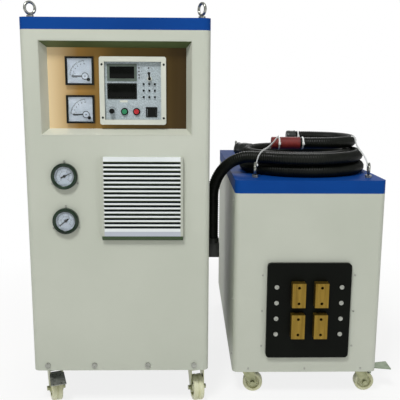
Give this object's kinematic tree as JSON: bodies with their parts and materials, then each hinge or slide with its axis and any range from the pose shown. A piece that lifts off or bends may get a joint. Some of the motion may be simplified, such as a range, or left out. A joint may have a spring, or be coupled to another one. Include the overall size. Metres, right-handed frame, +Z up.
{
  "type": "induction heating machine",
  "caption": "Wheeled high-frequency power cabinet with gauges, meters and controller, joined by a coiled power hose to a low wheeled heating station with brass output blocks.",
  "frame": {"origin": "on the floor, in the middle of the whole machine's box", "axes": "+X to the right seen from the front, +Y to the rear, +Z up"},
  "size_m": [1.126, 1.014, 1.2114],
  "materials": {
    "gold": "brushed, gold tinted",
    "surround": "satin powder coat",
    "case": "polished",
    "pointer": "matt",
    "pane": "clear",
    "controller": "satin",
    "black": "satin",
    "green": "satin",
    "red": "satin",
    "grille": "satin powder coat",
    "fan": "matt",
    "inverter": "machined",
    "pipes": "dull",
    "caster": "yellow zinc",
    "tread": "smooth",
    "pedal": "zinc",
    "screw": "zinc",
    "eye": "zinc",
    "board": "polished laminate",
    "brass": "dull",
    "windings": "varnished",
    "tanks": "drawn",
    "hose": "ribbed, matt",
    "fitting": "matt",
    "sleeve": "shrunk",
    "tie": "smooth",
    "cabinet": "satin powder coat",
    "lid": "satin powder coat"
  },
  "bodies": {
    "machine": {"pu_base": "cabinet", "pu_front_panel": "cabinet", "pu_side_panels": "cabinet", "pu_lid": "lid", "recess_surround": "surround", "instrument_plate": "gold", "instrument_cases": "case", "instrument_windows": "pane", "controller": "controller", "vent_grille": "grille", "vent_fan_frame": "fan", "inverter_stack": "inverter", "water_manifold": "pipes", "panel_screws": "screw", "lifting_eyes": "eye", "hs_base": "cabinet", "hs_front_panel": "cabinet", "hs_side_panels": "cabinet", "hs_rear_panel": "cabinet", "hs_lid": "lid", "terminal_board": "board", "output_blocks": "brass", "matching_transformer": "windings", "resonant_capacitors": "tanks", "hose_fittings": "fitting", "hose_riser": "hose", "hose_coil": "hose", "hose_tail": "hose", "jumper_hose": "hose", "red_sleeve": "sleeve", "cable_ties": "tie"},
    "rear_door": {"pu_rear_door": "cabinet"},
    "upper_meter_pointer": {"upper_meter_pointer": "pointer"},
    "lower_meter_pointer": {"lower_meter_pointer": "pointer"},
    "mode_toggle": {"mode_toggle": "black"},
    "output_knob": {"output_knob": "black"},
    "start_button": {"start_button": "green"},
    "stop_button": {"stop_button": "red"},
    "power_rocker": {"power_rocker": "black"},
    "fan_rotor": {"vent_fan_rotor": "fan"},
    "upper_gauge_pointer": {"upper_gauge_pointer": "pointer"},
    "lower_gauge_pointer": {"lower_gauge_pointer": "pointer"},
    "pu_fork_front_left": {"pu_fork_front_left": "caster"},
    "pu_wheel_front_left": {"pu_wheel_front_left": "tread"},
    "pu_brake_pedal": {"pu_brake_pedal": "pedal"},
    "pu_fork_front_right": {"pu_fork_front_right": "caster"},
    "pu_wheel_front_right": {"pu_wheel_front_right": "tread"},
    "pu_fork_rear_left": {"pu_fork_rear_left": "caster"},
    "pu_wheel_rear_left": {"pu_wheel_rear_left": "tread"},
    "pu_fork_rear_right": {"pu_fork_rear_right": "caster"},
    "pu_wheel_rear_right": {"pu_wheel_rear_right": "tread"},
    "hs_fork_front_left": {"hs_fork_front_left": "caster"},
    "hs_wheel_front_left": {"hs_wheel_front_left": "tread"},
    "hs_fork_front_right": {"hs_fork_front_right": "caster"},
    "hs_wheel_front_right": {"hs_wheel_front_right": "tread"},
    "hs_brake_pedal": {"hs_brake_pedal": "pedal"},
    "hs_fork_rear_left": {"hs_fork_rear_left": "caster"},
    "hs_wheel_rear_left": {"hs_wheel_rear_left": "tread"},
    "hs_fork_rear_right": {"hs_fork_rear_right": "caster"},
    "hs_wheel_rear_right": {"hs_wheel_rear_right": "tread"}
  },
  "joints": [
    {"name": "rear_door_hinge", "type": "hinge", "parent": "machine", "child": "rear_door", "pos_m": [-0.54253, 0.0738, 0.6], "axis": [0, 0, 1], "range_deg": [0, 110]},
    {"name": "upper_meter_pivot", "type": "hinge", "parent": "machine", "child": "upper_meter_pointer", "pos_m": [-0.38851, -0.4588, 1.00528], "axis": [0, 1, 0], "range_deg": [0, 90]},
    {"name": "lower_meter_pivot", "type": "hinge", "parent": "machine", "child": "lower_meter_pointer", "pos_m": [-0.38851, -0.4588, 0.89728], "axis": [0, 1, 0], "range_deg": [0, 90]},
    {"name": "mode_toggle_lever", "type": "hinge", "parent": "machine", "child": "mode_toggle", "pos_m": [-0.20578, -0.4605, 0.99888], "axis": [1, 0, 0], "range_deg": [0, 60]},
    {"name": "output_knob_turn", "type": "hinge", "parent": "machine", "child": "output_knob", "pos_m": [-0.31389, -0.458, 0.90739], "axis": [0, 1, 0], "range_deg": [-150, 150]},
    {"name": "start_push", "type": "slide", "parent": "machine", "child": "start_button", "axis": [0, 1, 0], "range_m": [0, 0.004], "stiffness_N_per_m": 300},
    {"name": "stop_push", "type": "slide", "parent": "machine", "child": "stop_button", "axis": [0, 1, 0], "range_m": [0, 0.004], "stiffness_N_per_m": 300},
    {"name": "power_rocker_tilt", "type": "hinge", "parent": "machine", "child": "power_rocker", "pos_m": [-0.20068, -0.45775, 0.90491], "axis": [0, 0, 1], "range_deg": [-18, 0]},
    {"name": "fan_spin", "type": "hinge", "parent": "machine", "child": "fan_rotor", "pos_m": [-0.22703, -0.468, 0.6575], "axis": [0, 1, 0], "continuous": true},
    {"name": "upper_gauge_pivot", "type": "hinge", "parent": "machine", "child": "upper_gauge_pointer", "pos_m": [-0.44973, -0.497, 0.7232], "axis": [0, 1, 0], "range_deg": [-199, 71]},
    {"name": "lower_gauge_pivot", "type": "hinge", "parent": "machine", "child": "lower_gauge_pointer", "pos_m": [-0.44973, -0.497, 0.5922], "axis": [0, 1, 0], "range_deg": [-6.5, 263.5]},
    {"name": "pu_swivel_front_left", "type": "hinge", "parent": "machine", "child": "pu_fork_front_left", "pos_m": [-0.52304, -0.399, 0.101], "axis": [0, 0, 1], "continuous": true},
    {"name": "pu_roll_front_left", "type": "hinge", "parent": "pu_fork_front_left", "child": "pu_wheel_front_left", "pos_m": [-0.51175, -0.43001, 0.04], "axis": [0.9397, 0.342, 0], "continuous": true},
    {"name": "pu_brake", "type": "hinge", "parent": "pu_fork_front_left", "child": "pu_brake_pedal", "pos_m": [-0.50764, -0.44129, 0.093], "axis": [0.9397, 0.342, 0], "range_deg": [-28, 0]},
    {"name": "pu_swivel_front_right", "type": "hinge", "parent": "machine", "child": "pu_fork_front_right", "pos_m": [-0.07304, -0.399, 0.101], "axis": [0, 0, 1], "continuous": true},
    {"name": "pu_roll_front_right", "type": "hinge", "parent": "pu_fork_front_right", "child": "pu_wheel_front_right", "pos_m": [-0.06617, -0.43128, 0.04], "axis": [0.9781, 0.2079, 0], "continuous": true},
    {"name": "pu_swivel_rear_left", "type": "hinge", "parent": "machine", "child": "pu_fork_rear_left", "pos_m": [-0.52304, -0.023, 0.101], "axis": [0, 0, 1], "continuous": true},
    {"name": "pu_roll_rear_left", "type": "hinge", "parent": "pu_fork_rear_left", "child": "pu_wheel_rear_left", "pos_m": [-0.53432, 0.00801, 0.04], "axis": [-0.9397, -0.342, 0], "continuous": true},
    {"name": "pu_swivel_rear_right", "type": "hinge", "parent": "machine", "child": "pu_fork_rear_right", "pos_m": [-0.07304, -0.023, 0.101], "axis": [0, 0, 1], "continuous": true},
    {"name": "pu_roll_rear_right", "type": "hinge", "parent": "pu_fork_rear_right", "child": "pu_wheel_rear_right", "pos_m": [-0.05654, 0.00558, 0.04], "axis": [-0.866, 0.5, 0], "continuous": true},
    {"name": "hs_swivel_front_left", "type": "hinge", "parent": "machine", "child": "hs_fork_front_left", "pos_m": [0.09197, -0.372, 0.075], "axis": [0, 0, 1], "continuous": true},
    {"name": "hs_roll_front_left", "type": "hinge", "parent": "hs_fork_front_left", "child": "hs_wheel_front_left", "pos_m": [0.11683, -0.37461, 0.0315], "axis": [0.1045, 0.9945, 0], "continuous": true},
    {"name": "hs_swivel_front_right", "type": "hinge", "parent": "machine", "child": "hs_fork_front_right", "pos_m": [0.45697, -0.372, 0.075], "axis": [0, 0, 1], "continuous": true},
    {"name": "hs_roll_front_right", "type": "hinge", "parent": "hs_fork_front_right", "child": "hs_wheel_front_right", "pos_m": [0.48196, -0.372, 0.0315], "axis": [0, 1, 0], "continuous": true},
    {"name": "hs_brake", "type": "hinge", "parent": "hs_fork_front_right", "child": "hs_brake_pedal", "pos_m": [0.49896, -0.372, 0.074], "axis": [0, 1, 0], "range_deg": [0, 28]},
    {"name": "hs_swivel_rear_left", "type": "hinge", "parent": "machine", "child": "hs_fork_rear_left", "pos_m": [0.09197, 0.413, 0.075], "axis": [0, 0, 1], "continuous": true},
    {"name": "hs_roll_rear_left", "type": "hinge", "parent": "hs_fork_rear_left", "child": "hs_wheel_rear_left", "pos_m": [0.0814, 0.43566, 0.0315], "axis": [-0.9063, -0.4226, 0], "continuous": true},
    {"name": "hs_swivel_rear_right", "type": "hinge", "parent": "machine", "child": "hs_fork_rear_right", "pos_m": [0.45697, 0.413, 0.075], "axis": [0, 0, 1], "continuous": true},
    {"name": "hs_roll_rear_right", "type": "hinge", "parent": "hs_fork_rear_right", "child": "hs_wheel_rear_right", "pos_m": [0.46552, 0.43649, 0.0315], "axis": [-0.9397, 0.342, 0], "continuous": true}
  ]
}
